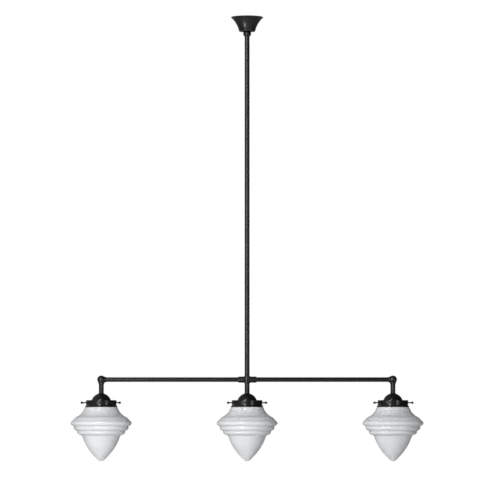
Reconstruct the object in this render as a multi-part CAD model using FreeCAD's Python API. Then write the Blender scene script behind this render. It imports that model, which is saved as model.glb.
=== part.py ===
"""Linear island pendant: one long rod, a crossbar and three acorn glass shades.

Millimetres. The origin is the middle of the ceiling bracket on the ceiling plane, +Z up,
the crossbar along X, the front towards -Y. Lamp parts are drawn below the bar's axis and
then set in their places.
"""
import FreeCAD
import Part
import math
import os

from FreeCAD import Vector

# ---- overall layout -------------------------------------------------------------------
BAR_DROP = 1182.0          # ceiling to the axis of the crossbar
LAMP_SPACING = 472.0       # from one lamp's axis to the next
LAMP_SIDES = {"left": -1, "middle": 0, "right": 1}

# ---- tubes ----------------------------------------------------------------------------
ROD_D = 16.0               # long rod and the three short stems
BAR_D = 15.0               # crossbar tubes
TUBE_WALL = 1.0
ROD_TOP = 46.5             # ceiling to the top end of the rod
TUBE_FIT = 0.05            # tube in a socket, all round

# ---- threads, all shown plain at their outer size --------------------------------------
NIPPLE_D = 10.0
NIPPLE_BORE = 8.0
BUSH_LENGTH = 11.0
THREAD_FIT = 0.03

# ---- ceiling bracket and hook -----------------------------------------------------------
BRACKET_LENGTH = 92.0
BRACKET_WIDTH = 16.0
BRACKET_THICK = 2.0
BRACKET_DROP = 6.0         # ceiling to the top of the lowered middle
BRACKET_WEB = 30.0         # length of the lowered middle
BRACKET_SLOPE = 6.0        # run of each slope along the strap
SLOT_SPACING = 66.0
SLOT_LENGTH = 12.0
SLOT_WIDTH = 5.0
HOOK_WIRE = 5.0
HOOK_RADIUS = 6.5          # centre line of the hook's bowl
HOOK_NECK = 2.0            # straight shank below the lower nut
HOOK_TIP = 2.5             # straight end of the hook's point
HOOK_BEND = 5.0            # radius of the two bends from the shank to the bowl
NUT_AF = 8.0
NUT_HEIGHT = 3.8
HOLE_PLAY = 0.05           # hook's shank in the bracket, all round
HOOK_PLAY = 0.3            # loop over the hook

# ---- suspension loop on the rod ----------------------------------------------------------
LOOP_SECTION = 4.0
LOOP_WINDOW = 10.6
LOOP_BASE_D = 15.0
LOOP_BASE_HEIGHT = 5.5

# ---- canopy and its collar -----------------------------------------------------------------
CANOPY_GAP = 3.0           # ceiling to the rim
CANOPY_RIM_D = 105.0
CANOPY_FOOT_D = 51.0
CANOPY_HEIGHT = 47.0
CANOPY_WALL = 1.2
CANOPY_LIP = 1.6           # straight edge of the rim
CANOPY_WAIST = 0.38        # share of the height from the rim to where the waist is measured
CANOPY_WAIST_D = 74.0
CANOPY_CORNER = 2.5
COLLAR_D = 26.0
COLLAR_HEIGHT = 16.0
COLLAR_CHAMFER = 4.5
SLIDE_FIT = 0.1            # canopy and collar on the rod, all round
SET_SCREW_D = 4.0

# ---- cross fitting ----------------------------------------------------------------------------
SLEEVE_D = 20.0
SLEEVE_HALF = 30.5         # middle to either end
BRANCH_D = 20.6
BRANCH_HALF = 12.0         # bar's axis to the end of the upright branch
CROSS_PASSAGE = 10.6
CROSS_FILLET = 2.0
SLEEVE_STOP = 13.0         # middle to the inner end of each bar
BRANCH_STOP = 7.0          # bar's axis to the end of the rod or stem
SLEEVE_TAPER = 5.0

# ---- ball elbows ---------------------------------------------------------------------------------
BALL_D = 26.6
BALL_NECK_D = 18.0
BALL_NECK_TAPER = 1.8      # the neck is this much wider in radius at the ball's centre
BALL_NECK = 15.0           # ball's centre to the end of each neck
BALL_PASSAGE = 11.0
BALL_BAR_STOP = 7.0
BALL_STEM_STOP = 8.5

# ---- lamp heads, depths below the bar's axis -------------------------------------------------------
DOME_TOP = 44.0
DOME_R = 33.0
PLATE_TOP = 66.6           # top of the gallery's plate, the dome's foot
DOME_WALL = 1.0
GALLERY_D = 99.0
GALLERY_RIM_D = 104.6
GALLERY_FOOT = 88.6
GALLERY_WALL = 1.2
GALLERY_CORNER = 2.5
GALLERY_FLARE = 7.0        # height of the flared foot
HOLDER_D = 38.0
HOLDER_BORE = 28.6
HOLDER_LENGTH = 56.0
HOLDER_FLOOR = 12.0        # thick head that takes the nipple
HEAD_R = 5.6               # small top face under the dome
HEAD_GAP = 1.0             # head inside the dome
HOLDER_FLANGE_D = 45.0
HOLDER_FLANGE = 3.0
SHADE_RING_D = 52.0
SHADE_RING_HEIGHT = 7.0
LINER_WALL = 0.5
LINER_LENGTH = 26.0
CONTACT_D = 8.0
CONTACT_HEIGHT = 3.0

# ---- thumbscrews ----------------------------------------------------------------------------------------
THUMB_DEPTH = 75.0         # below the bar's axis
THUMB_SHANK_D = 4.0
THUMB_HEAD_D = 7.4
THUMB_REACH = 74.0         # lamp's axis to the outer end of the head
THUMB_HEAD_LENGTH = 7.0
THUMB_ANGLES = {"front_left": 210, "front_right": 330, "back": 90}
THUMB_FIT = 0.05
THUMB_GAP = 0.3            # screw's point to the glass

# ---- glass shade, radius and depth below the bar's axis ---------------------------------------------------
GLASS_WALL = 3.6
LIP_R = 47.0
LIP_TOP = 68.4
LIP_HEIGHT = 4.0
NECK_R = 43.6
NECK_FOOT = 80.0
NECK_TURN = (2.6, 3.2)     # the neck's bend passes this far outside the neck and above the shoulder
NECK_EASE = 1.0            # the inner face bends out this much lower than the outer
SHOULDER = (52.8, 90.0)
FLARE_MID = (59.3, 102.4)
FLARE_END = (71.6, 115.8)
STEP_OUT = (73.6, 117.0)
CROWN_MID = (88.0, 126.4)
CROWN_END = (97.0, 135.6)
EDGE_MID = (99.6, 139.6)
EDGE_END = (97.6, 143.4)
GROOVE_1 = (86.6, 150.4)
BEAD_1 = (87.9, 157.0)
BEAD_1_END = (80.6, 163.4)
GROOVE_2 = (77.6, 164.8)
BEAD_2 = (76.8, 171.4)
BEAD_2_END = (68.4, 176.8)
GROOVE_3 = (63.4, 178.6)
BODY_TOP = (61.6, 184.0)
BODY_MID = (46.4, 219.5)
BODY_END = (17.0, 255.5)
TIP_DEPTH = 263.4

# ---- bulb ------------------------------------------------------------------------------------------------------
BULB_D = 60.0
BULB_CAP_D = 26.4
BULB_CAP_LENGTH = 24.0
BULB_LENGTH = 104.0        # cap's contact to the end of the glass
BULB_NECK_D = 30.0
BULB_NECK_LENGTH = 8.0
BULB_NECK_STEP = 2.5       # the neck is drawn in by this where it enters the cap
BULB_JOIN_ANGLE = 35       # degrees above the ball's middle where the cone meets it
BULB_WALL = 1.0
BULB_PLAY = 0.4

# ---- cables and the terminal block --------------------------------------------------------------------------------
CABLE_D = 3.4
CABLE_GAP = 0.3            # between neighbours in the rod
CABLE_BEND = 10.0
CABLE_SAG = 1.5            # bar's axis to the cable lying in it
CABLE_TOP_BEND = 6.0
CABLE_RISE = {"left": 3.5, "middle": 3.5, "right": 1.0}   # straight run above the loop's foot
CABLE_END_BEND = 3.4
BLOCK_SIZE = (12.0, 19.0, 12.0)
BLOCK_FACE = 13.5          # rod's axis to the block's near face
BLOCK_LEVEL = 28.5         # ceiling to the cable entries
BLOCK_PITCH = 6.0
BLOCK_SCREW_D = 2.6
BLOCK_SCREW_HEIGHT = 1.2

ORIGIN = Vector(0, 0, 0)
UP = Vector(0, 0, 1)
ALONG = Vector(1, 0, 0)


# ---- drawing helpers ---------------------------------------------------------------------------
def point(r, z):
    """A point of an outline: radius along X, height along Z."""
    return Vector(r, 0, z)


def outline_face(start, steps):
    """Face inside an outline. A step is an end point, or a middle and an end of an arc."""
    edges = []
    here = start
    for step in steps + [start]:
        if isinstance(step[0], tuple):
            middle, end = step
            edges.append(Part.Arc(point(*here), point(*middle), point(*end)).toShape())
        else:
            end = step
            edges.append(Part.LineSegment(point(*here), point(*end)).toShape())
        here = end
    return Part.Face(Part.Wire(edges))


def turned(start, steps):
    """Solid of revolution about Z."""
    return outline_face(start, steps).revolve(ORIGIN, UP, 360)


def rod_between(diameter, start, direction, length):
    return Part.makeCylinder(diameter / 2, length, start, direction)


def tube_between(outer, inner, start, direction, length):
    shell = rod_between(outer, start, direction, length)
    return shell.cut(rod_between(inner, start, direction, length))


def hexagon(across_flats, height, z):
    corner = across_flats / math.sqrt(3)
    corners = [
        Vector(corner * math.cos(math.radians(a)), corner * math.sin(math.radians(a)), z)
        for a in range(0, 360, 60)
    ]
    return Part.Face(Part.makePolygon(corners + corners[:1])).extrude(UP * height)


def swept(path_edges, diameter):
    """Round bar along a path of lines and tangent arcs."""
    path = Part.Wire(path_edges)
    first = path_edges[0]
    start = first.valueAt(first.FirstParameter)
    heading = first.tangentAt(first.FirstParameter)
    ring = Part.Wire(Part.makeCircle(diameter / 2, start, heading))
    return path.makePipeShell([ring], True, False)


def rounded_path(points, radii):
    """Straight runs joined by tangent arcs, one radius at each inner point."""
    edges = []
    here = points[0]
    for before, corner, after, radius in zip(points, points[1:], points[2:], radii):
        inward = (corner - before).normalize()
        outward = (after - corner).normalize()
        half_turn = inward.getAngle(outward) / 2
        reach = radius * math.tan(half_turn)
        arc_start = corner - inward * reach
        arc_end = corner + outward * reach
        bisector = (outward - inward).normalize()
        arc_mid = corner + bisector * (radius / math.cos(half_turn) - radius)
        edges.append(Part.LineSegment(here, arc_start).toShape())
        edges.append(Part.Arc(arc_start, arc_mid, arc_end).toShape())
        here = arc_end
    edges.append(Part.LineSegment(here, points[-1]).toShape())
    return edges


def at_lamp(shape, side):
    """Move a part drawn about a lamp's axis, below the bar, to its lamp."""
    placed = shape.copy()
    placed.translate(Vector(LAMP_SIDES[side] * LAMP_SPACING, 0, -BAR_DROP))
    return placed


# ---- ceiling bracket, hook and loop ---------------------------------------------------------------
def ceiling_bracket():
    half = BRACKET_LENGTH / 2
    web = BRACKET_WEB / 2
    foot = web + BRACKET_SLOPE
    lower = BRACKET_DROP + BRACKET_THICK
    # The slope's two faces are drawn parallel.
    lean = BRACKET_THICK * (math.hypot(BRACKET_SLOPE, BRACKET_DROP) - BRACKET_SLOPE) / BRACKET_DROP
    half_top = [(foot, 0), (web, -BRACKET_DROP)]
    half_bottom = [(web + lean, -lower), (foot + lean, -BRACKET_THICK)]
    right = [(half, -BRACKET_THICK), (half, 0)] + half_top
    left_top = [(-x, z) for x, z in reversed(half_top)]
    left_bottom = [(-x, z) for x, z in reversed(half_bottom)]
    points = right + left_top + [(-half, 0), (-half, -BRACKET_THICK)] + left_bottom + half_bottom
    face = outline_face(points[0], points[1:])
    strap = face.extrude(Vector(0, BRACKET_WIDTH, 0))
    strap.translate(Vector(0, -BRACKET_WIDTH / 2, 0))
    for side in (-1, 1):
        strap = strap.cut(slot(side * SLOT_SPACING / 2))
    hole = rod_between(HOOK_WIRE + 2 * HOLE_PLAY, Vector(0, 0, -lower), UP, lower)
    return strap.cut(hole)


def slot(x):
    straight = SLOT_LENGTH - SLOT_WIDTH
    body = Part.makeBox(straight, SLOT_WIDTH, BRACKET_THICK)
    body.translate(Vector(x - straight / 2, -SLOT_WIDTH / 2, -BRACKET_THICK))
    for end in (-1, 1):
        centre = Vector(x + end * straight / 2, 0, -BRACKET_THICK)
        body = body.fuse(rod_between(SLOT_WIDTH, centre, UP, BRACKET_THICK))
    return body


def hook_levels():
    """Heights of the hook: shank's top, end of the straight, middle of the bowl."""
    top = -(BRACKET_DROP - NUT_HEIGHT - 1.0)
    straight_end = -(BRACKET_DROP + BRACKET_THICK + NUT_HEIGHT + HOOK_NECK)
    angle = math.acos(1 - HOOK_RADIUS / (2 * HOOK_BEND))
    bowl = straight_end - 2 * HOOK_BEND * math.sin(angle)
    return top, straight_end, bowl, angle


def hook_saddle():
    """Height of the hook's centre line at the bottom of its bowl."""
    return hook_levels()[2] - HOOK_RADIUS


def ceiling_hook():
    top, straight_end, bowl, angle = hook_levels()
    shift = HOOK_BEND * (1 - math.cos(angle / 2))
    fall = HOOK_BEND * math.sin(angle / 2)
    mid_x = HOOK_RADIUS / 2
    mid_z = (straight_end + bowl) / 2
    path = [
        Part.LineSegment(point(0, top), point(0, straight_end)).toShape(),
        Part.Arc(point(0, straight_end), point(shift, straight_end - fall), point(mid_x, mid_z)).toShape(),
        Part.Arc(
            point(mid_x, mid_z), point(HOOK_RADIUS - shift, bowl + fall), point(HOOK_RADIUS, bowl)
        ).toShape(),
        Part.Arc(
            point(HOOK_RADIUS, bowl), point(0, bowl - HOOK_RADIUS), point(-HOOK_RADIUS, bowl)
        ).toShape(),
        Part.LineSegment(point(-HOOK_RADIUS, bowl), point(-HOOK_RADIUS, bowl + HOOK_TIP)).toShape(),
    ]
    return swept(path, HOOK_WIRE)


def hook_nuts():
    hole_d = HOOK_WIRE + 2 * THREAD_FIT
    nuts = []
    for z in (-BRACKET_DROP, -(BRACKET_DROP + BRACKET_THICK + NUT_HEIGHT)):
        nut = hexagon(NUT_AF, NUT_HEIGHT, z)
        nuts.append(nut.cut(rod_between(hole_d, Vector(0, 0, z), UP, NUT_HEIGHT)))
    return nuts


def suspension_loop():
    """Flat-sided ring on a threaded foot; the cables leave through its window."""
    window_r = LOOP_WINDOW / 2
    crown = hook_saddle() + HOOK_WIRE / 2 + HOOK_PLAY
    foot_top = -ROD_TOP + LOOP_BASE_HEIGHT
    foot = rod_between(LOOP_BASE_D, Vector(0, 0, -ROD_TOP), UP, LOOP_BASE_HEIGHT)
    outer_r = window_r + LOOP_SECTION
    arch_z = crown - window_r
    plate = rod_between(2 * outer_r, Vector(-LOOP_SECTION / 2, 0, arch_z), ALONG, LOOP_SECTION)
    legs = Part.makeBox(LOOP_SECTION, 2 * outer_r, arch_z - foot_top)
    legs.translate(Vector(-LOOP_SECTION / 2, -outer_r, foot_top))
    plate = plate.common(Part.makeBox(LOOP_SECTION, 2 * outer_r, outer_r,
                                      Vector(-LOOP_SECTION / 2, -outer_r, arch_z))).fuse(legs)
    window = rod_between(LOOP_WINDOW, Vector(-LOOP_SECTION, 0, arch_z), ALONG, 2 * LOOP_SECTION)
    window_legs = Part.makeBox(2 * LOOP_SECTION, LOOP_WINDOW, arch_z - foot_top)
    window_legs.translate(Vector(-LOOP_SECTION, -window_r, foot_top))
    ring = plate.cut(window).cut(window_legs)
    ring = ring.makeFillet(LOOP_SECTION / 4, crown_edges(ring, arch_z))
    loop = foot.fuse(ring).removeSplitter()
    bore = rod_between(NIPPLE_D + 2 * THREAD_FIT, Vector(0, 0, -ROD_TOP), UP, LOOP_BASE_HEIGHT)
    return loop.cut(bore)


def crown_edges(ring, arch_z):
    """The four round edges of the loop's arch."""
    return [e for e in ring.Edges if isinstance(e.Curve, Part.Circle) and e.CenterOfMass.z > arch_z]


# ---- rod, bars and stems ------------------------------------------------------------------------------
def rod():
    length = BAR_DROP - ROD_TOP - BRANCH_STOP
    bottom = Vector(0, 0, -(BAR_DROP - BRANCH_STOP))
    return tube_between(ROD_D, ROD_D - 2 * TUBE_WALL, bottom, UP, length)


def bar(side):
    length = LAMP_SPACING - SLEEVE_STOP - BALL_BAR_STOP
    start = Vector(side * SLEEVE_STOP, 0, -BAR_DROP)
    return tube_between(BAR_D, BAR_D - 2 * TUBE_WALL, start, ALONG * side, length)


def stem(side):
    top = BRANCH_STOP if side == "middle" else BALL_STEM_STOP
    foot = Vector(0, 0, -DOME_TOP)
    return at_lamp(tube_between(ROD_D, ROD_D - 2 * TUBE_WALL, foot, UP, DOME_TOP - top), side)


def threaded_bushes():
    """Bushes pressed in the ends of the rod and the stems."""
    outer = ROD_D - 2 * TUBE_WALL
    inner = NIPPLE_D + 2 * THREAD_FIT
    rod_bush = tube_between(outer, inner, Vector(0, 0, -ROD_TOP - BUSH_LENGTH), UP, BUSH_LENGTH)
    stem_bush = tube_between(outer, inner, Vector(0, 0, -DOME_TOP), UP, BUSH_LENGTH)
    return [rod_bush] + [at_lamp(stem_bush, side) for side in LAMP_SIDES]


def threaded_nipples():
    """Hollow threaded tubes that join the loop and the lampholders to the bushes."""
    top_length = LOOP_BASE_HEIGHT + BUSH_LENGTH
    top = tube_between(NIPPLE_D, NIPPLE_BORE, Vector(0, 0, -ROD_TOP - BUSH_LENGTH), UP, top_length)
    lamp_length = BUSH_LENGTH + DOME_WALL + HOLDER_FLOOR
    foot = Vector(0, 0, -(DOME_TOP + DOME_WALL + HOLDER_FLOOR))
    lamp = tube_between(NIPPLE_D, NIPPLE_BORE, foot, UP, lamp_length)
    return [top] + [at_lamp(lamp, side) for side in LAMP_SIDES]


def cross_fitting():
    """Four-way fitting: a sleeve over the bars and an upright branch for rod and stem."""
    cut_in = (SLEEVE_D - BAR_D) / 2 - 0.4
    sleeve = turned(
        (0, -SLEEVE_HALF),
        [
            (SLEEVE_D / 2 - cut_in, -SLEEVE_HALF),
            (SLEEVE_D / 2, -SLEEVE_HALF + SLEEVE_TAPER),
            (SLEEVE_D / 2, SLEEVE_HALF),
            (0, SLEEVE_HALF),
        ],
    )
    sleeve.rotate(ORIGIN, Vector(0, 1, 0), 90)
    branch = rod_between(BRANCH_D, Vector(0, 0, -BRANCH_HALF), UP, 2 * BRANCH_HALF)
    body = sleeve.fuse(branch)
    for axis, passage_half in ((ALONG, SLEEVE_HALF), (UP, BRANCH_HALF)):
        body = body.cut(rod_between(CROSS_PASSAGE, axis * -passage_half, axis, 2 * passage_half))
    bar_socket = BAR_D + 2 * TUBE_FIT
    rod_socket = ROD_D + 2 * TUBE_FIT
    for way in (-1, 1):
        bar_end = ALONG * (way * SLEEVE_STOP)
        body = body.cut(rod_between(bar_socket, bar_end, ALONG * way, SLEEVE_HALF))
        rod_end = UP * (way * BRANCH_STOP)
        body = body.cut(rod_between(rod_socket, rod_end, UP * way, BRANCH_HALF))
    body.translate(Vector(0, 0, -BAR_DROP))
    return body


def end_ball(side):
    """Ball elbow with a short neck for the bar and one for the stem."""
    inward = ALONG * -side
    body = Part.makeSphere(BALL_D / 2)
    for way in (inward, UP * -1):
        neck = Part.makeCone(BALL_NECK_D / 2 + BALL_NECK_TAPER, BALL_NECK_D / 2, BALL_NECK, ORIGIN, way)
        body = body.fuse(neck)
    for way in (inward, UP * -1):
        body = body.cut(rod_between(BALL_PASSAGE, ORIGIN, way, BALL_NECK))
    body = body.cut(Part.makeSphere(BALL_PASSAGE / 2))
    bar_socket = BAR_D + 2 * TUBE_FIT
    body = body.cut(rod_between(bar_socket, inward * BALL_BAR_STOP, inward, BALL_NECK))
    stem_socket = ROD_D + 2 * TUBE_FIT
    body = body.cut(rod_between(stem_socket, UP * -BALL_STEM_STOP, UP * -1, BALL_NECK))
    body.translate(Vector(side * LAMP_SPACING, 0, -BAR_DROP))
    return body


# ---- canopy and collar ---------------------------------------------------------------------------------
def canopy():
    """Trumpet bell: a straight lip, one hollow curve, a round corner and a flat foot."""
    rim = CANOPY_RIM_D / 2
    foot = CANOPY_FOOT_D / 2
    waist = CANOPY_WAIST_D / 2
    wall = CANOPY_WALL
    top = -CANOPY_GAP
    bottom = top - CANOPY_HEIGHT
    waist_z = top - CANOPY_WAIST * CANOPY_HEIGHT
    hole = ROD_D / 2 + SLIDE_FIT
    bell = turned(
        (rim, top),
        [
            (rim, top - CANOPY_LIP),
            ((waist, waist_z), (foot, bottom)),
            (hole, bottom),
            (hole, bottom + wall),
            (foot - 0.8 * wall, bottom + wall),
            ((waist - 0.85 * wall, waist_z + 0.6 * wall), (rim - 0.75 * wall, top)),
        ],
    )
    corner = [
        edge for edge in bell.Edges
        if abs(edge.BoundBox.ZMax - bottom) < 0.01 and abs(edge.BoundBox.XMax - foot) < 0.01
    ]
    return bell.makeFillet(CANOPY_CORNER, corner)


def canopy_collar():
    top = -(CANOPY_GAP + CANOPY_HEIGHT)
    outer = COLLAR_D / 2
    hole = ROD_D / 2 + SLIDE_FIT
    bottom = top - COLLAR_HEIGHT
    ring = turned(
        (hole, top),
        [
            (outer - 0.5 * COLLAR_CHAMFER * 0.5, top),
            (outer, top - 0.5 * COLLAR_HEIGHT),
            (outer - 0.15 * COLLAR_CHAMFER, bottom + COLLAR_CHAMFER),
            (hole + 0.8, bottom),
            (hole, bottom),
        ],
    )
    start = Vector(0, 0, top - COLLAR_HEIGHT / 2)
    return ring.cut(rod_between(SET_SCREW_D + 2 * THREAD_FIT, start, Vector(0, 1, 0), COLLAR_D))


def collar_set_screw():
    """Grub screw at the back of the collar, with a hexagon socket."""
    inner = ROD_D / 2 + SLIDE_FIT
    length = COLLAR_D / 2 - inner - 0.5
    start = Vector(0, inner, -(CANOPY_GAP + CANOPY_HEIGHT + COLLAR_HEIGHT / 2))
    screw = rod_between(SET_SCREW_D, start, Vector(0, 1, 0), length)
    socket = hexagon(SET_SCREW_D / 2, length / 2, 0)
    socket.rotate(ORIGIN, ALONG, -90)
    socket.translate(start + Vector(0, length / 2, 0))
    return screw.cut(socket)


# ---- lamp head -------------------------------------------------------------------------------------------
def dome():
    """Round cover over the lampholder's head."""
    inner_r = DOME_R - DOME_WALL
    depth = PLATE_TOP - DOME_TOP
    centre = DOME_TOP + DOME_R
    hole = NIPPLE_D / 2 + THREAD_FIT
    edge = math.sqrt(DOME_R ** 2 - (DOME_R - depth) ** 2)
    inner_edge = math.sqrt(inner_r ** 2 - (DOME_R - depth) ** 2)
    flat = ROD_D / 2 + 1.0
    flat_z = -(centre - math.sqrt(DOME_R ** 2 - flat ** 2))
    rise = 0.35 * (centre - DOME_TOP)
    outer_mid = (math.sqrt(DOME_R ** 2 - (DOME_R - rise) ** 2), -(DOME_TOP + rise))
    inner_flat_z = -(DOME_TOP + DOME_WALL)
    inner_flat = math.sqrt(inner_r ** 2 - (inner_r - 0.6) ** 2)
    inner_mid_z = centre - math.sqrt(inner_r ** 2 - (0.7 * inner_r) ** 2)
    return turned(
        (hole, -DOME_TOP),
        [
            (flat, -DOME_TOP),
            (flat, flat_z),
            (outer_mid, (edge, -PLATE_TOP)),
            (inner_edge, -PLATE_TOP),
            ((0.7 * inner_r, -inner_mid_z), (inner_flat, -(centre - inner_r + 0.6))),
            (inner_flat, inner_flat_z),
            (hole, inner_flat_z),
        ],
    )


def gallery():
    """Shade holder: a flat plate, a wall with a slight waist and a flared foot."""
    wall_r = GALLERY_D / 2
    rim = GALLERY_RIM_D / 2
    wall = GALLERY_WALL
    corner = GALLERY_CORNER
    hole = HOLDER_D / 2 + THREAD_FIT
    arc = corner * (1 - math.sqrt(0.5))
    flare_top = GALLERY_FOOT - GALLERY_FLARE
    lip = GALLERY_FOOT - 1.6
    mid_z = flare_top + 0.6 * (lip - flare_top)
    mid_r = wall_r + 0.3 * (rim - wall_r)
    body = turned(
        (hole, -PLATE_TOP),
        [
            (wall_r - corner, -PLATE_TOP),
            ((wall_r - arc, -PLATE_TOP - arc), (wall_r, -PLATE_TOP - corner)),
            (wall_r, -flare_top),
            ((mid_r, -mid_z), (rim, -lip)),
            (rim, -GALLERY_FOOT),
            (rim - wall, -GALLERY_FOOT),
            ((mid_r - wall, -mid_z - 0.3 * wall), (wall_r - wall, -flare_top - 0.3 * wall)),
            (wall_r - wall, -PLATE_TOP - wall),
            (hole, -PLATE_TOP - wall),
        ],
    )
    for angle in THUMB_ANGLES.values():
        body = body.cut(radial(THUMB_SHANK_D + 2 * THUMB_FIT, NECK_R, wall_r - NECK_R + corner, angle))
    return body


def radial(diameter, start_r, length, angle):
    """Cylinder pointing outwards at the thumbscrews' level."""
    way = Vector(math.cos(math.radians(angle)), math.sin(math.radians(angle)), 0)
    return rod_between(diameter, way * start_r - UP * THUMB_DEPTH, way, length)


def thumbscrew(angle):
    """Plain shank with a small turned head."""
    point_r = NECK_R + THUMB_GAP
    head_start = THUMB_REACH - THUMB_HEAD_LENGTH
    shank = THUMB_SHANK_D / 2
    head = THUMB_HEAD_D / 2
    round_ = 0.3 * head
    screw = turned(
        (0, point_r),
        [
            (0.6 * shank, point_r),
            (shank, point_r + 0.4 * shank),
            (shank, head_start),
            ((head - 0.2 * round_, head_start + round_), (head, THUMB_REACH - 0.5 * THUMB_HEAD_LENGTH)),
            ((head - 0.8 * round_, THUMB_REACH - round_), (0.4 * head, THUMB_REACH)),
            (0, THUMB_REACH),
        ],
    )
    screw.rotate(ORIGIN, Vector(0, 1, 0), 90)
    screw.rotate(ORIGIN, UP, angle)
    screw.translate(UP * -THUMB_DEPTH)
    return screw


def under_dome(radius, room):
    """Height of a sphere of radius room inside the dome, at a distance from the axis."""
    return -(DOME_TOP + DOME_R - math.sqrt(room ** 2 - radius ** 2))


def lampholder():
    """Hollow body with a thick head and a flange that sits on the gallery's plate."""
    top = -(DOME_TOP + DOME_WALL)
    outer = HOLDER_D / 2
    bore = HOLDER_BORE / 2
    floor = top - HOLDER_FLOOR
    foot = top - HOLDER_LENGTH
    hole = NIPPLE_D / 2 + THREAD_FIT
    flange = HOLDER_FLANGE_D / 2
    # The head is stepped so that it stays inside the dome.
    room = DOME_R - DOME_WALL - HEAD_GAP
    head_steps = [(share * outer, under_dome(share * outer, room)) for share in (0.72, 1.0)]
    return turned(
        (hole, top),
        [
            (HEAD_R, top),
            (HEAD_R, under_dome(HEAD_R, room)),
        ]
        + head_steps
        + [
            (outer, -PLATE_TOP + HOLDER_FLANGE),
            (flange, -PLATE_TOP + HOLDER_FLANGE),
            (flange, -PLATE_TOP),
            (outer, -PLATE_TOP),
            (outer, foot),
            (bore, foot),
            (bore, floor),
            (hole, floor),
        ],
    )


def shade_rings():
    """Rings that clamp each gallery against its lampholder's flange."""
    bore = HOLDER_D + 2 * THREAD_FIT
    z = -(PLATE_TOP + GALLERY_WALL + SHADE_RING_HEIGHT)
    ring = tube_between(SHADE_RING_D, bore, Vector(0, 0, z), UP, SHADE_RING_HEIGHT)
    return [at_lamp(ring, side) for side in LAMP_SIDES]


def holder_foot():
    return DOME_TOP + DOME_WALL + HOLDER_LENGTH


def socket_liners():
    """Screw shells inside the lampholders."""
    liner = tube_between(
        HOLDER_BORE, HOLDER_BORE - 2 * LINER_WALL, Vector(0, 0, -holder_foot() + 1.0), UP, LINER_LENGTH
    )
    return [at_lamp(liner, side) for side in LAMP_SIDES]


def bulb_cap_top():
    """Depth of the cap's own contact below the bar's axis."""
    return holder_foot() - 1.0 - BULB_CAP_LENGTH


def socket_contacts():
    """Centre contacts: a foot on the lampholder's floor and a stud above the bulb."""
    floor = DOME_TOP + DOME_WALL + HOLDER_FLOOR
    length = bulb_cap_top() - floor - BULB_PLAY
    contact = rod_between(CONTACT_D, Vector(NIPPLE_D / 2 + 3, 0, -floor - CONTACT_HEIGHT), UP, CONTACT_HEIGHT)
    stud = rod_between(CONTACT_HEIGHT, Vector(0, 0, -floor - length), UP, length - 0.5 * CONTACT_HEIGHT)
    bridge = Part.makeBox(NIPPLE_D / 2 + 3, CONTACT_HEIGHT, 0.4 * CONTACT_HEIGHT)
    bridge.translate(Vector(0, -CONTACT_HEIGHT / 2, -floor - CONTACT_HEIGHT))
    whole = contact.fuse(stud).fuse(bridge).removeSplitter()
    return [at_lamp(whole, side) for side in LAMP_SIDES]


# ---- glass shade -----------------------------------------------------------------------------------------
def below(pair):
    return (pair[0], -pair[1])


def inside(pair, inward=1.0, upward=0.0):
    """The inner face's point beside a point of the outer face."""
    return (pair[0] - inward * GLASS_WALL, -pair[1] + upward * GLASS_WALL)


def tip_mid():
    """Middle of the round tip, an arc centred on the axis."""
    edge_r, edge_z = below(BODY_END)
    height = edge_z + TIP_DEPTH
    radius = (edge_r ** 2 + height ** 2) / (2 * height)
    half_angle = math.asin(edge_r / radius) / 2
    return (radius * math.sin(half_angle), -TIP_DEPTH + radius * (1 - math.cos(half_angle)))


def seam_inside():
    """Inner end of the line on which the drawing parts the shade's crown from its bowl."""
    return inside(EDGE_END, 0.9, 0.2)


def shade_crown():
    """Upper part of the acorn: lipped neck, flare, stepped crown and round widest edge."""
    neck_in = NECK_R - GLASS_WALL
    lip_foot = LIP_TOP + LIP_HEIGHT
    neck_mid = (NECK_R + NECK_TURN[0], NECK_TURN[1] - SHOULDER[1])
    outer = [
        (LIP_R, -lip_foot),
        (NECK_R, -lip_foot),
        (NECK_R, -NECK_FOOT),
        (neck_mid, below(SHOULDER)),
        (below(FLARE_MID), below(FLARE_END)),
        below(STEP_OUT),
        (below(CROWN_MID), below(CROWN_END)),
        (below(EDGE_MID), below(EDGE_END)),
    ]
    inner = [
        seam_inside(),
        inside(CROWN_END, 0.85, -0.4),
        inside(CROWN_MID, 0.6, -0.85),
        inside(FLARE_END, 0.8, -0.6),
        (inside(FLARE_MID, 0.9, -0.35), inside(SHOULDER, 1.15, -0.3)),
        (neck_in, -NECK_FOOT - NECK_EASE),
        (neck_in, -LIP_TOP),
    ]
    return turned((LIP_R, -LIP_TOP), outer + inner)


def shade_bowl():
    """Lower part, one glass with the crown and parted from it only here: two beads and a pointed body."""
    outer = [
        below(GROOVE_1),
        (below(BEAD_1), below(BEAD_1_END)),
        below(GROOVE_2),
        (below(BEAD_2), below(BEAD_2_END)),
        below(GROOVE_3),
        below(BODY_TOP),
        (below(BODY_MID), below(BODY_END)),
        (tip_mid(), (0, -TIP_DEPTH)),
    ]
    inner = [
        (0, -TIP_DEPTH + GLASS_WALL),
        inside(BODY_END, 0.75, 0.65),
        (inside(BODY_MID, 0.9, 0.42), inside(BODY_TOP, 1.0, 0.0)),
        inside(GROOVE_3, 0.9, 0.3),
        inside(GROOVE_2, 0.9, 0.5),
        inside(GROOVE_1, 0.9, 0.5),
        seam_inside(),
    ]
    return turned(below(EDGE_END), outer + inner)


# ---- bulb --------------------------------------------------------------------------------------------------
def bulb_cap():
    top = bulb_cap_top()
    radius = BULB_CAP_D / 2
    return turned(
        (0, -top),
        [
            (0.35 * radius, -top),
            (0.8 * radius, -top - 3.0),
            (radius, -top - 5.0),
            (radius, -top - BULB_CAP_LENGTH),
            (0, -top - BULB_CAP_LENGTH),
        ],
    )


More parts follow.
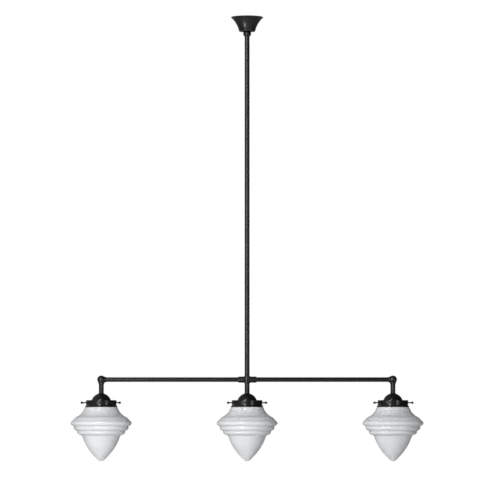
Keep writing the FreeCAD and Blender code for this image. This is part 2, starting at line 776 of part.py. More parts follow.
def bulb_form(wall):
    """Pear shape below the cap, drawn in by wall."""
    start = bulb_cap_top() + BULB_CAP_LENGTH
    radius = BULB_D / 2 - wall
    neck = BULB_NECK_D / 2 - wall
    centre = bulb_cap_top() + BULB_LENGTH - BULB_D / 2
    join_angle = math.radians(BULB_JOIN_ANGLE)
    join = (radius * math.cos(join_angle), -(centre - radius * math.sin(join_angle)))
    side = (radius * math.cos(join_angle / 2), -(centre + radius * math.sin(join_angle / 2)))
    return turned(
        (0, -start),
        [
            (neck - BULB_NECK_STEP, -start),
            (neck, -start - BULB_NECK_LENGTH),
            join,
            (side, (0, -(centre + radius))),
        ],
    )


def bulb():
    """Thin glass, open at the neck where the cap closes it."""
    return bulb_form(0).cut(bulb_form(BULB_WALL))


# ---- cables and terminal block -----------------------------------------------------------------------------------
def cable_seats():
    """Each cable's place in the rod: three in a triangle round the axis."""
    offset = (CABLE_D + CABLE_GAP) / math.sqrt(3)
    angles = {"left": 120, "middle": 240, "right": 0}
    return {
        side: Vector(offset * math.cos(math.radians(a)), offset * math.sin(math.radians(a)), 0)
        for side, a in angles.items()
    }


def cable(side):
    """Flex from a lampholder through stem, bar, fitting and rod to the terminal block."""
    seat = cable_seats()[side]
    lamp_x = LAMP_SIDES[side] * LAMP_SPACING
    start_z = -(BAR_DROP + DOME_TOP + DOME_WALL + HOLDER_FLOOR - 1.0)
    top_z = -(ROD_TOP - LOOP_BASE_HEIGHT) + CABLE_RISE[side]
    entry_y = {"left": BLOCK_PITCH, "middle": -BLOCK_PITCH, "right": 0}[side]
    entry = Vector(BLOCK_FACE, entry_y, -BLOCK_LEVEL)
    before_entry = entry - ALONG * 3.0
    points = [Vector(seat.x, seat.y, top_z), before_entry, entry]
    radii = [CABLE_TOP_BEND, CABLE_END_BEND]
    if side == "middle":
        points = [Vector(seat.x, seat.y, start_z)] + points
    else:
        bar_z = -BAR_DROP - CABLE_SAG
        points = [
            Vector(lamp_x, seat.y, start_z),
            Vector(lamp_x, seat.y, bar_z),
            Vector(seat.x, seat.y, bar_z),
        ] + points
        radii = [CABLE_BEND, CABLE_BEND] + radii
    path = rounded_path(points, radii)
    body = swept(path, CABLE_D)
    length = sum(edge.Length for edge in path)
    expected = length * math.pi * CABLE_D ** 2 / 4
    print("cable", side, "length", round(length, 1), "volume ratio", round(body.Volume / expected, 5))
    return body


def block_screw_places():
    x = BLOCK_FACE + BLOCK_SIZE[0] / 2
    return [Vector(x, y * BLOCK_PITCH, -BLOCK_LEVEL + BLOCK_SIZE[2] / 2) for y in (-1, 0, 1)]


def terminal_block():
    block = Part.makeBox(*BLOCK_SIZE)
    block.translate(Vector(BLOCK_FACE, -BLOCK_SIZE[1] / 2, -BLOCK_LEVEL - BLOCK_SIZE[2] / 2))
    far_face = BLOCK_FACE + BLOCK_SIZE[0]
    entry_depth = BLOCK_SIZE[0] / 3
    for place in block_screw_places():
        well = BLOCK_SCREW_D + 0.2
        block = block.cut(rod_between(well, place - UP * 3.0, UP, 3.0))
        entry = Vector(far_face - entry_depth, place.y, -BLOCK_LEVEL)
        block = block.cut(rod_between(CABLE_D, entry, ALONG, entry_depth))
    return block


def terminal_screws():
    screws = []
    for place in block_screw_places():
        foot = place - UP * 3.0
        screws.append(rod_between(BLOCK_SCREW_D, foot, UP, BLOCK_SCREW_HEIGHT))
    return screws


# ---- writing the parts ------------------------------------------------------------------------------------------
def all_parts():
    parts = {
        "ceiling_bracket": ceiling_bracket(),
        "ceiling_hook": ceiling_hook(),
        "hook_nuts": hook_nuts(),
        "suspension_loop": suspension_loop(),
        "canopy": canopy(),
        "canopy_collar": canopy_collar(),
        "collar_set_screw": collar_set_screw(),
        "rod": rod(),
        "cross_fitting": cross_fitting(),
        "bar_left": bar(-1),
        "bar_right": bar(1),
        "end_ball_left": end_ball(-1),
        "end_ball_right": end_ball(1),
        "threaded_bushes": threaded_bushes(),
        "threaded_nipples": threaded_nipples(),
        "shade_rings": shade_rings(),
        "socket_liners": socket_liners(),
        "socket_contacts": socket_contacts(),
        "terminal_block": terminal_block(),
        "terminal_screws": terminal_screws(),
    }
    lamp_parts = {
        "dome": dome(),
        "gallery": gallery(),
        "lampholder": lampholder(),
        "shade": shade_crown(),
        "shade_bowl": shade_bowl(),
        "bulb": bulb(),
        "bulb_cap": bulb_cap(),
    }
    for side in LAMP_SIDES:
        parts["stem_" + side] = stem(side)
        parts["cable_" + side] = cable(side)
        for name, shape in lamp_parts.items():
            parts[name + "_" + side] = at_lamp(shape, side)
        for place, angle in THUMB_ANGLES.items():
            parts["thumbscrew_" + side + "_" + place] = at_lamp(thumbscrew(angle), side)
    return parts


os.makedirs("parts", exist_ok=True)
for name, shape in all_parts().items():
    solids = shape if isinstance(shape, list) else shape.Solids
    if not all(solid.isValid() for solid in solids):
        print("not valid:", name)
    whole = solids[0] if len(solids) == 1 else Part.makeCompound(solids)
    whole.exportStep("parts/" + name + ".step")
    print(name, len(solids), round(sum(solid.Volume for solid in solids)))
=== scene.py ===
import bmesh
import bpy
import math
from mathutils import Matrix, Vector


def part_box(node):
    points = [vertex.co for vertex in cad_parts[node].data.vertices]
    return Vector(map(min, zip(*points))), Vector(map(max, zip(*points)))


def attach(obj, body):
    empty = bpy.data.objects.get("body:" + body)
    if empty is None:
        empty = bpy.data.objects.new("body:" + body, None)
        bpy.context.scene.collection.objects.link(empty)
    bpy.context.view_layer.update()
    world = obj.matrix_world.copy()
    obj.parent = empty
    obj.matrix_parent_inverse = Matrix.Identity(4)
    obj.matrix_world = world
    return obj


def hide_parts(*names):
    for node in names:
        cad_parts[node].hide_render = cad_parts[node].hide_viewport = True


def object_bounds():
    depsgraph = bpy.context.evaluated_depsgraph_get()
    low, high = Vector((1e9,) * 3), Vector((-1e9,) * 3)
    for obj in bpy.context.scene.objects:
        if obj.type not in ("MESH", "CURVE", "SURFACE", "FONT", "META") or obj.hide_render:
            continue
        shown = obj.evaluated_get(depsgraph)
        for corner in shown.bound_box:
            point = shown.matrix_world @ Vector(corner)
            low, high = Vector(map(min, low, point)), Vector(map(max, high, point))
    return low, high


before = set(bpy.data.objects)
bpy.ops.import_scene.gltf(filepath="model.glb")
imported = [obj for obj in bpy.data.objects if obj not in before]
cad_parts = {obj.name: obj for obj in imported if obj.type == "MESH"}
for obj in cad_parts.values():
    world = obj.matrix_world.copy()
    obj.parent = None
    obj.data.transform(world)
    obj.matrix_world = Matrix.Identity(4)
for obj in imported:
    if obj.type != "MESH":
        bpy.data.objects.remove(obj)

cad_box = [list(corner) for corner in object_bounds()]
bpy.context.scene.view_settings.view_transform = "Standard"
MM = 0.001
LAMPS = ("left", "middle", "right")


# ---- long rod, stems and crossbar -------------------------------------------------------------
# Thin-walled steel tubes, cut square and finished in satin black powder coat. The rod carries
# the cross fitting; the bars run from the fitting to the ball elbows and the stems hang down.
def linear(hex_colour):
    """sRGB hex to the linear colour that a shader socket takes."""
    channels = [int(hex_colour[i:i + 2], 16) / 255 for i in (1, 3, 5)]
    straight = tuple(c / 12.92 if c <= 0.04045 else ((c + 0.055) / 1.055) ** 2.4 for c in channels)
    return straight + (1.0,)


def add_node(tree, kind, settings=(), links=()):
    """Adds a node; settings name its properties or its input sockets, links feed its inputs."""
    node = tree.nodes.new(kind)
    for name, value in dict(settings).items():
        if hasattr(node, str(name)):
            setattr(node, name, value)
        else:
            node.inputs[name].default_value = value
    for name, source in dict(links).items():
        tree.links.new(source, node.inputs[name])
    return node


def new_material(name):
    material = bpy.data.materials.new(name)
    material.use_nodes = True
    material.node_tree.nodes.clear()
    return material, material.node_tree


def powder_coat():
    """Satin black polyester powder coat, sprayed and baked: soft, dark highlights whose edges the
    orange peel of the flowed powder breaks, and a gloss that drifts with the film's thickness.
    Real peel is about 2 mm wide and is drawn coarser, so that it shows from this far."""
    peel_mm = 6.0
    film_mm = 1000 / 30
    material, tree = new_material("satin_black_powder_coat")
    place = add_node(tree, "ShaderNodeTexCoord")
    peel = add_node(
        tree, "ShaderNodeTexNoise",
        {"Scale": 1 / (peel_mm * MM), "Detail": 2.0, "Roughness": 0.5},
        {"Vector": place.outputs["Object"]},
    )
    film = add_node(
        tree, "ShaderNodeTexNoise",
        {"Scale": 1 / (film_mm * MM), "Detail": 3.0},
        {"Vector": place.outputs["Object"]},
    )
    gloss = add_node(
        tree, "ShaderNodeMapRange",
        {"To Min": 0.235, "To Max": 0.265},
        {"Value": film.outputs["Fac"]},
    )
    tint = add_node(
        tree, "ShaderNodeMix",
        {"data_type": "RGBA", 6: linear("#08080a"), 7: linear("#0b0b0e")},
        {0: film.outputs["Fac"]},
    )
    bump = add_node(
        tree, "ShaderNodeBump",
        {"Strength": 0.04, "Distance": 0.02 * MM},
        {"Height": peel.outputs["Fac"]},
    )
    coat = add_node(
        tree, "ShaderNodeBsdfPrincipled",
        {"IOR": 1.5, "Metallic": 0.0},
        {
            "Base Color": tint.outputs[2],
            "Roughness": gloss.outputs["Result"],
            "Normal": bump.outputs["Normal"],
        },
    )
    add_node(tree, "ShaderNodeOutputMaterial", {}, {"Surface": coat.outputs["BSDF"]})
    return material


def finish_piece(name, bm, material, body, nodes, smooth_angle=40):
    """Makes a piece of a bmesh, sets its finish and ties it to its body and the nodes it stands for."""
    mesh = bpy.data.meshes.new(name)
    bm.to_mesh(mesh)
    bm.free()
    piece = bpy.data.objects.new(name, mesh)
    bpy.context.scene.collection.objects.link(piece)
    mesh.materials.append(material)
    mesh.set_sharp_from_angle(angle=math.radians(smooth_angle))
    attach(piece, body)
    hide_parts(*nodes)


def turned(outline, steps=96):
    """A bmesh turned about Z from an outline of (radius, height) in millimetres."""
    bm = bmesh.new()
    corners = [bm.verts.new((radius * MM, 0, height * MM)) for radius, height in outline]
    for first, second in zip(corners, corners[1:]):
        bm.edges.new((first, second))
    bmesh.ops.spin(
        bm, geom=bm.verts[:] + bm.edges[:], cent=(0, 0, 0), axis=(0, 0, 1),
        angle=2 * math.pi, steps=steps, use_merge=True, use_duplicate=False,
    )
    bmesh.ops.remove_doubles(bm, verts=bm.verts, dist=0.001 * MM)
    bmesh.ops.recalc_face_normals(bm, faces=bm.faces)
    return bm


def closed(outline):
    """Joins an outline's end to its start, so that it turns into a wall with an inside."""
    return outline + outline[:1]


def middle_of(node):
    """The middle of a CAD node's box, in metres."""
    low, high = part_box(node)
    return Vector([(a + b) / 2 for a, b in zip(low, high)])


def size_of(node):
    """The corners of a CAD node's box, in millimetres."""
    return [Vector(corner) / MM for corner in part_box(node)]


def tube_piece(node, axis):
    """A tube with eased ends in the place of a CAD tube that runs along one axis."""
    low, high = size_of(node)
    half = (high - low)[axis] / 2
    radius = (high - low)[(axis + 1) % 3] / 2
    bore = radius - 1.0
    ease = 0.25
    bm = turned(closed([
        (radius, -half + ease), (radius, half - ease), (radius - ease, half),
        (bore, half), (bore, -half), (radius - ease, -half),
    ]))
    if axis == 0:
        bm.transform(Matrix.Rotation(math.pi / 2, 4, "Y"))
    bm.transform(Matrix.Translation(middle_of(node)))
    finish_piece(node + "_tube", bm, black, "frame", [node])


black = powder_coat()
for node, axis in (("rod", 2), ("bar_left", 0), ("bar_right", 0)):
    tube_piece(node, axis)
for lamp in LAMPS:
    tube_piece("stem_" + lamp, 2)
bar_height = middle_of("bar_left").z


# ---- cross fitting ----------------------------------------------------------------------------
# A cast four-way fitting that takes both bars and, through its upright branch, the rod and the
# middle stem. Its left end is filed to a taper and the branch runs into the sleeve in fillets.
def fused(parts):
    """Joins closed shapes into one casting with soft fillets at the joins."""
    voxel = 0.45
    smoothings = 6
    mesh = bpy.data.meshes.new("casting")
    whole = bmesh.new()
    for part in parts:
        part.to_mesh(mesh)
        whole.from_mesh(mesh)
        part.free()
    whole.to_mesh(mesh)
    whole.free()
    blank = bpy.data.objects.new("casting", mesh)
    bpy.context.scene.collection.objects.link(blank)
    remesh = blank.modifiers.new("cast", "REMESH")
    remesh.mode = "VOXEL"
    remesh.voxel_size = voxel * MM
    depsgraph = bpy.context.evaluated_depsgraph_get()
    bm = bmesh.new()
    bm.from_object(blank, depsgraph)
    bpy.data.objects.remove(blank)
    for _ in range(smoothings):
        bmesh.ops.smooth_vert(
            bm, verts=bm.verts, factor=0.5, use_axis_x=True, use_axis_y=True, use_axis_z=True
        )
    return bm


def cross_fitting():
    low, high = size_of("cross_fitting")
    half = (high.x - low.x) / 2
    branch_half = (high.z - low.z) / 2
    branch = (high.y - low.y) / 2
    bar = 7.5
    sleeve = 10.0
    groove = sleeve - 0.45
    taper = 5.0
    neck = 9.6
    collar = branch_half - 7.0
    sleeve_bm = turned([
        (0, -half), (bar + 0.6, -half), (sleeve - 0.6, -half + taper - 1), (sleeve, -half + taper),
        (sleeve, -half + 10.5), (groove, -half + 11.2), (groove, -half + 12.2),
        (sleeve, -half + 13), (sleeve, half - 0.6), (sleeve - 0.5, half), (0, half),
    ])
    sleeve_bm.transform(Matrix.Rotation(math.pi / 2, 4, "Y"))
    branch_bm = turned([
        (0, -branch_half), (neck - 0.6, -branch_half), (neck, -branch_half + 1.2), (branch, -collar),
        (branch, collar), (neck, branch_half - 1.2), (neck - 0.6, branch_half), (0, branch_half),
    ])
    bm = fused([sleeve_bm, branch_bm])
    bm.transform(Matrix.Translation(middle_of("cross_fitting")))
    finish_piece("cross_casting", bm, black, "frame", ["cross_fitting"], 180)


cross_fitting()


# ---- ball elbows ------------------------------------------------------------------------------
# Turned steel balls at the ends of the crossbar, each with a short neck over the bar and one
# over the stem, brazed on and coated with the tubes.
def end_ball(side, way):
    ball = 13.3
    neck = 15.0
    root = 10.8
    chamfer = 0.8
    centre = Vector((middle_of("stem_" + side).x, 0, bar_height))
    ball_bm = bmesh.new()
    bmesh.ops.create_uvsphere(ball_bm, u_segments=96, v_segments=48, radius=ball * MM)
    bar_neck = turned([(0, 0), (root, 0), (9.2, neck - chamfer), (8.6, neck), (0, neck)])
    bar_neck.transform(Matrix.Rotation(-way * math.pi / 2, 4, "Y"))
    stem_neck = turned([(0, 0), (root, 0), (9.4, -neck + chamfer), (8.8, -neck), (0, -neck)])
    bm = fused([ball_bm, bar_neck, stem_neck])
    bm.transform(Matrix.Translation(centre))
    finish_piece("ball_elbow_" + side, bm, black, "frame", ["end_ball_" + side], 180)


end_ball("left", -1)
end_ball("right", 1)


# ---- canopy -----------------------------------------------------------------------------------
# A trumpet bell spun from sheet steel that hides the ceiling bracket: rolled rim, one hollow
# sweep and a small round corner into the flat foot that the rod passes through.
def eased(points, rounds=3):
    """Cuts the corners of an open outline again and again, so that it becomes a smooth curve."""
    for _ in range(rounds):
        cut = [points[0]]
        for (r1, z1), (r2, z2) in zip(points, points[1:]):
            cut.append((0.75 * r1 + 0.25 * r2, 0.75 * z1 + 0.25 * z2))
            cut.append((0.25 * r1 + 0.75 * r2, 0.25 * z1 + 0.75 * z2))
        points = cut + [points[-1]]
    return points


def canopy():
    low, high = size_of("canopy")
    rim = (high.x - low.x) / 2
    top = high.z
    foot = low.z
    wall = 1.2
    hole = 8.3
    outer = eased([
        (rim - 0.5, top), (rim, top - 0.4), (rim, top - 1.5), (rim - 1.2, top - 2.0),
        (47.5, -8.6), (41.8, -15.4), (36.4, -23.4), (31.8, -31.8), (28.9, -39.4), (27.2, -45.4),
        (26.0, foot), (23.0, foot), (hole, foot),
    ])
    inner = eased([
        (hole, foot + wall), (23.6, foot + wall), (24.8, foot + 1.8), (26.2, -43.5), (28.6, -35.0),
        (33.0, -25.4), (39.0, -16.2), (45.6, -8.0), (rim - 1.6, top), (rim - 0.5, top),
    ])
    bm = turned(closed(outer + inner[:-1]), 128)
    finish_piece("canopy_bell", bm, black, "canopy", ["canopy"], 50)


canopy()


# ---- stop collar ------------------------------------------------------------------------------
# A turned steel ring that holds the canopy up, slightly barrelled and chamfered to the rod. Its
# grub screw, at the back, is the CAD's own piece and is finished further down.
def collar():
    low, high = size_of("canopy_collar")
    widest = (high.x - low.x) / 2
    top = high.z
    foot = low.z
    hole = 8.1
    outline = eased([
        (hole, top), (11.4, top), (11.9, top - 0.5), (widest, top - 6.5), (widest, top - 9.5),
        (widest - 0.9, foot + 4.4), (9.4, foot), (hole, foot),
    ])
    bm = turned(closed(outline))
    finish_piece("collar_ring", bm, black, "collar", ["canopy_collar"], 50)


collar()


# ---- domes over the lampholders ---------------------------------------------------------------
# Spun steel half-round covers, one on each stem, with a small raised seat where the stem lands.
# Heights here and on the pieces below are counted from the middle of the crossbar.
def dome(side):
    axis = middle_of("dome_" + side).x
    top = 44.0
    radius = 33.0
    plate = 66.6
    hole = 5.2
    seat = 9.9
    wall = 0.9
    foot_angle = math.acos((radius - (plate - top)) / radius)
    seat_angle = math.asin(seat / radius)
    steps = 18
    angles = [seat_angle + (foot_angle - seat_angle) * i / steps for i in range(steps + 1)]
    sweep = [(radius * math.sin(a), -(top + radius * (1 - math.cos(a)))) for a in angles]
    crown = eased([(hole, -top), (8.6, -top), (9.3, -top - 0.5), (seat, sweep[0][1] - 0.1)], 2)
    under = [(r * 0.97, z - wall) for r, z in reversed(sweep)]
    under[0] = (sweep[-1][0] - 1.0, -plate)
    bm = turned(closed(crown + sweep[1:] + under + [(hole, -top - 1.0)]))
    bm.transform(Matrix.Translation((axis, 0, bar_height)))
    finish_piece("dome_cover_" + side, bm, black, "frame", ["dome_" + side], 50)


for lamp in LAMPS:
    dome(lamp)


# ---- galleries --------------------------------------------------------------------------------
# Shade holders pressed from sheet steel: flat plate, rolled shoulder, a wall with a slight waist
# and a flared foot.
def gallery(side):
    axis = middle_of("gallery_" + side).x
    plate = -66.6
    foot = -88.6
    hole = 19.2
    outer = eased([
        (hole, plate), (44.0, plate), (48.6, plate), (49.5, -67.6), (49.5, -71.0), (49.2, -76.0),
        (49.1, -80.0), (49.4, -83.2), (51.0, -85.2), (52.2, -86.2), (52.3, -87.0), (52.3, -88.2),
        (51.8, foot),
    ])
    inner = eased([
        (51.2, foot), (50.6, -87.6), (48.8, -85.0), (48.0, -82.0), (48.2, -72.0), (48.2, -68.4),
        (47.0, -67.8), (hole, -67.8),
    ])
    bm = turned(closed(outer + inner), 128)
    bm.transform(Matrix.Translation((axis, 0, bar_height)))
    finish_piece("shade_holder_" + side, bm, black, "frame", ["gallery_" + side], 50)


for lamp in LAMPS:
    gallery(lamp)


# ---- thumbscrews ------------------------------------------------------------------------------
# Small steel screws with turned, knurled heads that reach in under the lip of the glass, three
# round each gallery: two in front and one at the back.
def thumbscrew(side, place, angle):
    node = "thumbscrew_" + side + "_" + place
    axis = middle_of("gallery_" + side).x
    depth = 75.0
    reach = 74.0
    point = 43.9
    shank = 1.9
    head = 3.7
    flutes = 20
    flute_floor = 0.93
    knurled_from = 3.4
    bm = turned([
        (0, point), (1.2, point), (shank, point + 0.8), (shank, reach - 7.6), (shank, reach - 7.0),
        (2.9, reach - 6.7), (3.55, reach - 5.9), (head, reach - 4.9), (head, reach - 1.9),
        (3.45, reach - 1.0), (2.7, reach - 0.3), (1.4, reach), (0, reach),
    ], 2 * flutes)
    for vert in bm.verts:
        turn = math.atan2(vert.co.y, vert.co.x) / (math.pi / flutes)
        on_head = vert.co.xy.length > knurled_from * MM
        if on_head and round(turn) % 2:
            vert.co.xy *= flute_floor
    bm.transform(Matrix.Rotation(math.pi / 2, 4, "Y"))
    bm.transform(Matrix.Rotation(math.radians(angle), 4, "Z"))
    bm.transform(Matrix.Translation((axis, 0, bar_height - depth * MM)))
    finish_piece("knob_" + side + "_" + place, bm, black, node, [node], 60)


for lamp in LAMPS:
    for place, angle in (("front_left", 210), ("front_right", 330), ("back", 90)):
        thumbscrew(lamp, place, angle)


# ---- glass shades -----------------------------------------------------------------------------
# Mould-blown acorns of glossy opal glass: lipped neck, hollow flare, a faint ledge under the
# crown, a round edge, two beads below it and a pointed body.
def opal_glass():
    """Opal soda-lime glass, blown in an iron mould and fire-polished: milky white with light that
    sinks in a few millimetres, and a hard clear gloss that waves very slightly."""
    wave_mm = 22.0
    light_depth_mm = 6.0
    material, tree = new_material("fire_polished_opal_glass")
    place = add_node(tree, "ShaderNodeTexCoord")
    wave = add_node(
        tree, "ShaderNodeTexNoise",
        {"Scale": 1 / (wave_mm * MM), "Detail": 1.0},
        {"Vector": place.outputs["Object"]},
    )
    milk = add_node(
        tree, "ShaderNodeMix",
        {"data_type": "RGBA", 6: linear("#dcdee0"), 7: linear("#e1e2e4")},
        {0: wave.outputs["Fac"]},
    )
    bump = add_node(
        tree, "ShaderNodeBump",
        {"Strength": 0.25, "Distance": 0.2 * MM},
        {"Height": wave.outputs["Fac"]},
    )
    glass = add_node(
        tree, "ShaderNodeBsdfPrincipled",
        {
            "IOR": 1.5, "Roughness": 0.08, "Subsurface Weight": 0.8,
            "Subsurface Radius": (1.0, 1.0, 1.0), "Subsurface Scale": light_depth_mm * MM,
        },
        {"Base Color": milk.outputs[2], "Normal": bump.outputs["Normal"]},
    )
    add_node(tree, "ShaderNodeOutputMaterial", {}, {"Surface": glass.outputs["BSDF"]})
    return material


def shade(side):
    axis = middle_of("shade_" + side).x
    outer = eased([
        (47.0, -68.4), (47.0, -72.4), (43.6, -72.6), (43.6, -81.0), (45.4, -86.4), (51.6, -89.0),
        (53.4, -90.6), (55.4, -96.4), (58.6, -102.6), (63.6, -108.8), (70.0, -114.6), (72.0, -116.2),
        (72.8, -117.0), (75.2, -118.2), (82.4, -122.0), (88.0, -127.0), (90.0, -130.2),
        (91.8, -131.6), (95.8, -135.0), (98.9, -139.8), (97.8, -144.2), (94.0, -148.2),
        (89.4, -150.4), (88.0, -151.6), (88.0, -153.2), (88.8, -156.0), (87.0, -160.4),
        (83.4, -163.8), (79.4, -165.2), (77.8, -166.4), (77.6, -168.0), (77.6, -170.6),
        (75.6, -174.8), (71.2, -177.8), (65.4, -179.2), (62.6, -180.4), (60.8, -184.6),
        (57.2, -194.0), (51.9, -206.0), (44.4, -219.5), (34.6, -233.4), (23.2, -246.6),
        (13.2, -256.4), (9.0, -261.0), (4.6, -263.3), (0, -263.4),
    ])
    inner = eased([
        (0, -259.4), (3.4, -258.8), (9.8, -252.4), (19.6, -242.0), (40.4, -218.0), (55.0, -187.0),
        (58.0, -178.4), (72.4, -164.2), (83.6, -149.6), (92.4, -143.2), (92.2, -137.0),
        (84.4, -129.6), (68.0, -118.0), (56.0, -103.8), (48.6, -91.2), (40.0, -81.0),
        (40.0, -68.4), (47.0, -68.4),
    ], 2)
    bm = turned(outer + inner[:-1], 160)
    bm.transform(Matrix.Translation((axis, 0, bar_height)))
    stands_for = ["shade_" + side, "shade_bowl_" + side]
    finish_piece("acorn_shade_" + side, bm, opal, "frame", stands_for, 60)


opal = opal_glass()
for lamp in LAMPS:
    shade(lamp)


# ---- pieces inside the lamp heads and the canopy ----------------------------------------------
# Brass nipples, bushes and contacts, moulded lampholders and rings, bulbs, flexes, the terminal
# block, and the zinc-plated bracket, hook and loop: real pieces that hardly show.
def plain_finish(name, colour, roughness, metallic, grain_mm, spread):
    """A finish whose roughness varies at the given grain, as cast, drawn or moulded pieces do."""
    material, tree = new_material(name)
    place = add_node(tree, "ShaderNodeTexCoord")
    grain = add_node(
        tree, "ShaderNodeTexNoise",
        {"Scale": 1 / (grain_mm * MM), "Detail": 3.0},
        {"Vector": place.outputs["Object"]},
    )
    rough = add_node(
        tree, "ShaderNodeMapRange",
        {"To Min": roughness - spread, "To Max": roughness + spread},
        {"Value": grain.outputs["Fac"]},
    )
    body = add_node(
        tree, "ShaderNodeBsdfPrincipled",
        {"Base Color": linear(colour), "Metallic": metallic},
        {"Roughness": rough.outputs["Result"]},
    )
    add_node(tree, "ShaderNodeOutputMaterial", {}, {"Surface": body.outputs["BSDF"]})
    return material


def dress(node, material):
    """Gives a CAD node its finish."""
    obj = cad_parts[node]
    obj.data.materials.clear()
    obj.data.materials.append(material)


# Zinc electroplate on pressed steel: cool and fairly bright, with a cloudy sheen.
zinc = plain_finish("bright_zinc_plate", "#b9bcc0", 0.32, 1.0, 2.0, 0.08)
# Brass bar turned on a lathe and left bare: warm, clean highlights.
turned_brass = plain_finish("turned_brass", "#c9a258", 0.28, 1.0, 1.0, 0.06)
# Phenolic moulded in a polished tool: black with an even gloss.
phenolic = plain_finish("black_phenolic_moulding", "#141414", 0.28, 0.0, 3.0, 0.05)
# Nylon moulded in a blasted tool: warm white and dull.
nylon = plain_finish("white_nylon_moulding", "#e2e1dc", 0.45, 0.0, 1.5, 0.06)
# Extruded PVC sheath: black and dull, a little uneven along its length.
flex_sheath = plain_finish("black_flex_sheath", "#191919", 0.55, 0.0, 2.0, 0.08)
# Glass etched to a frost: pale, with one wide soft highlight.
frosted = plain_finish("frosted_bulb_glass", "#eceae4", 0.5, 0.0, 2.0, 0.05)
# Rolled aluminium bulb cap: pale grey with a blurred reflection.
bulb_tin = plain_finish("bulb_cap_aluminium", "#c3c4c6", 0.35, 1.0, 1.5, 0.08)

for node in ("ceiling_bracket", "ceiling_hook", "hook_nuts", "suspension_loop", "collar_set_screw"):
    dress(node, zinc)
for node in ("threaded_nipples", "threaded_bushes", "socket_liners", "socket_contacts", "terminal_screws"):
    dress(node, turned_brass)
dress("terminal_block", nylon)
dress("shade_rings", phenolic)
for lamp in LAMPS:
    dress("lampholder_" + lamp, phenolic)
    dress("cable_" + lamp, flex_sheath)
    dress("bulb_" + lamp, frosted)
    dress("bulb_cap_" + lamp, bulb_tin)


# ---- floor ------------------------------------------------------------------------------------
# A plain pale floor well below the shades. It shows nearly pure white to the camera, with a
# trace of the object's shadow, and lets a camera below it look through.
def seen_by_camera(tree):
    """One for a ray that the camera sends, straight or through glass, and nought for the rest."""
    ray = add_node(tree, "ShaderNodeLightPath")
    return add_node(
        tree, "ShaderNodeMath", {"operation": "MAXIMUM"},
        {0: ray.outputs["Is Camera Ray"], 1: ray.outputs["Is Transmission Ray"]},
    )


def white_paper():
    """Matt white paper sweep that is lit from behind as far as the camera can tell."""
    glow_share = 0.9
    material, tree = new_material("white_paper_sweep")
    seen = seen_by_camera(tree)
    shown = add_node(
        tree, "ShaderNodeMath", {"operation": "MULTIPLY", 1: glow_share}, {0: seen.outputs[0]}
    )
    paper = add_node(tree, "ShaderNodeBsdfDiffuse", {"Color": linear("#f2f2f2")})
    glow = add_node(tree, "ShaderNodeEmission", {"Color": (1, 1, 1, 1), "Strength": 1.0})
    lit = add_node(
        tree, "ShaderNodeMixShader", {},
        {0: shown.outputs[0], 1: paper.outputs[0], 2: glow.outputs[0]},
    )
    clear = add_node(tree, "ShaderNodeBsdfTransparent")
    face = add_node(tree, "ShaderNodeNewGeometry")
    whole = add_node(
        tree, "ShaderNodeMixShader", {},
        {0: face.outputs["Backfacing"], 1: lit.outputs[0], 2: clear.outputs[0]},
    )
    add_node(tree, "ShaderNodeOutputMaterial", {}, {"Surface": whole.outputs[0]})
    return material


def studio_floor():
    drop = 0.75
    half = 9.0
    bm = bmesh.new()
    bmesh.ops.create_grid(bm, x_segments=1, y_segments=1, size=half)
    bm.transform(Matrix.Translation((0, 0, cad_box[0][2] - drop)))
    mesh = bpy.data.meshes.new("studio_floor")
    bm.to_mesh(mesh)
    bm.free()
    floor = bpy.data.objects.new("studio_floor", mesh)
    bpy.context.scene.collection.objects.link(floor)
    mesh.materials.append(white_paper())


studio_floor()


# ---- light ------------------------------------------------------------------------------------
# A tall softbox in front and to the left, a weak strip to the right, a low panel that lights
# the hollow of the canopy, and a pale room that is brighter on the left.
def softbox(name, azimuth, distance, height, width, tall, watts, target_height):
    """A panel that looks at the pendant's axis; the azimuth is 0 in front and grows to the right."""
    light = bpy.data.lights.new(name, "AREA")
    light.shape = "RECTANGLE"
    light.size = width
    light.size_y = tall
    light.energy = watts
    lamp = bpy.data.objects.new(name, light)
    angle = math.radians(azimuth)
    lamp.location = (distance * math.sin(angle), -distance * math.cos(angle), height)
    target = Vector((0, 0, target_height))
    lamp.rotation_euler = (target - lamp.location).to_track_quat("-Z", "Y").to_euler()
    bpy.context.scene.collection.objects.link(lamp)


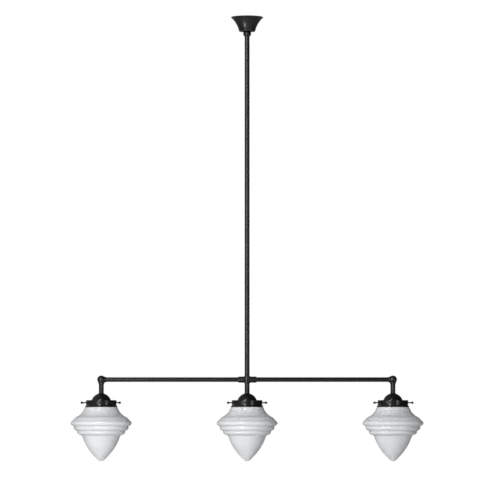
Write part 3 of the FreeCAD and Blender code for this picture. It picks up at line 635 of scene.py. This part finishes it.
def room(left, right):
    """A room that lights the pendant from all round, and that the camera sees as plain white."""
    world = bpy.data.worlds.new("pale_room")
    bpy.context.scene.world = world
    world.use_nodes = True
    tree = world.node_tree
    tree.nodes.clear()
    seen = seen_by_camera(tree)
    way = add_node(tree, "ShaderNodeTexCoord")
    across = add_node(tree, "ShaderNodeSeparateXYZ", {}, {0: way.outputs["Generated"]})
    fall = add_node(
        tree, "ShaderNodeMapRange",
        {
            "From Min": -1.0, "From Max": 0.8, "To Min": left, "To Max": right,
            "interpolation_type": "SMOOTHSTEP",
        },
        {"Value": across.outputs["X"]},
    )
    ambient = add_node(
        tree, "ShaderNodeBackground", {"Color": linear("#f9fafb")}, {"Strength": fall.outputs["Result"]}
    )
    backdrop = add_node(tree, "ShaderNodeBackground", {"Color": (1, 1, 1, 1), "Strength": 1.0})
    both = add_node(
        tree, "ShaderNodeMixShader", {},
        {0: seen.outputs[0], 1: ambient.outputs[0], 2: backdrop.outputs[0]},
    )
    add_node(tree, "ShaderNodeOutputWorld", {}, {"Surface": both.outputs[0]})


softbox(
    "key_softbox", azimuth=-19, distance=4.2, height=0.5,
    width=0.8, tall=3.6, watts=115, target_height=-0.9,
)
softbox(
    "fill_strip", azimuth=38, distance=4.5, height=-0.7,
    width=0.7, tall=2.2, watts=26, target_height=-0.8,
)
softbox(
    "low_panel", azimuth=-32, distance=2.2, height=-1.9,
    width=0.7, tall=0.7, watts=16, target_height=-0.1,
)
room(left=0.42, right=0.05)


# ---- camera -----------------------------------------------------------------------------------
# Far back with a long lens, a little above the shades' widest edge and tilted up slightly.
def camera():
    distance = 11.2
    eye = -1.339
    tilt = math.radians(2.95)
    aside = 0.0094
    lens_px = 3457
    frame_px = 500
    data = bpy.data.cameras.new("camera")
    data.sensor_width = 36.0
    data.lens = lens_px / frame_px * data.sensor_width
    data.clip_end = 60
    view = bpy.data.objects.new("camera", data)
    view.location = (aside, -distance, eye)
    view.rotation_euler = (math.pi / 2 + tilt, 0, 0)
    bpy.context.scene.collection.objects.link(view)
    bpy.context.scene.camera = view


camera()
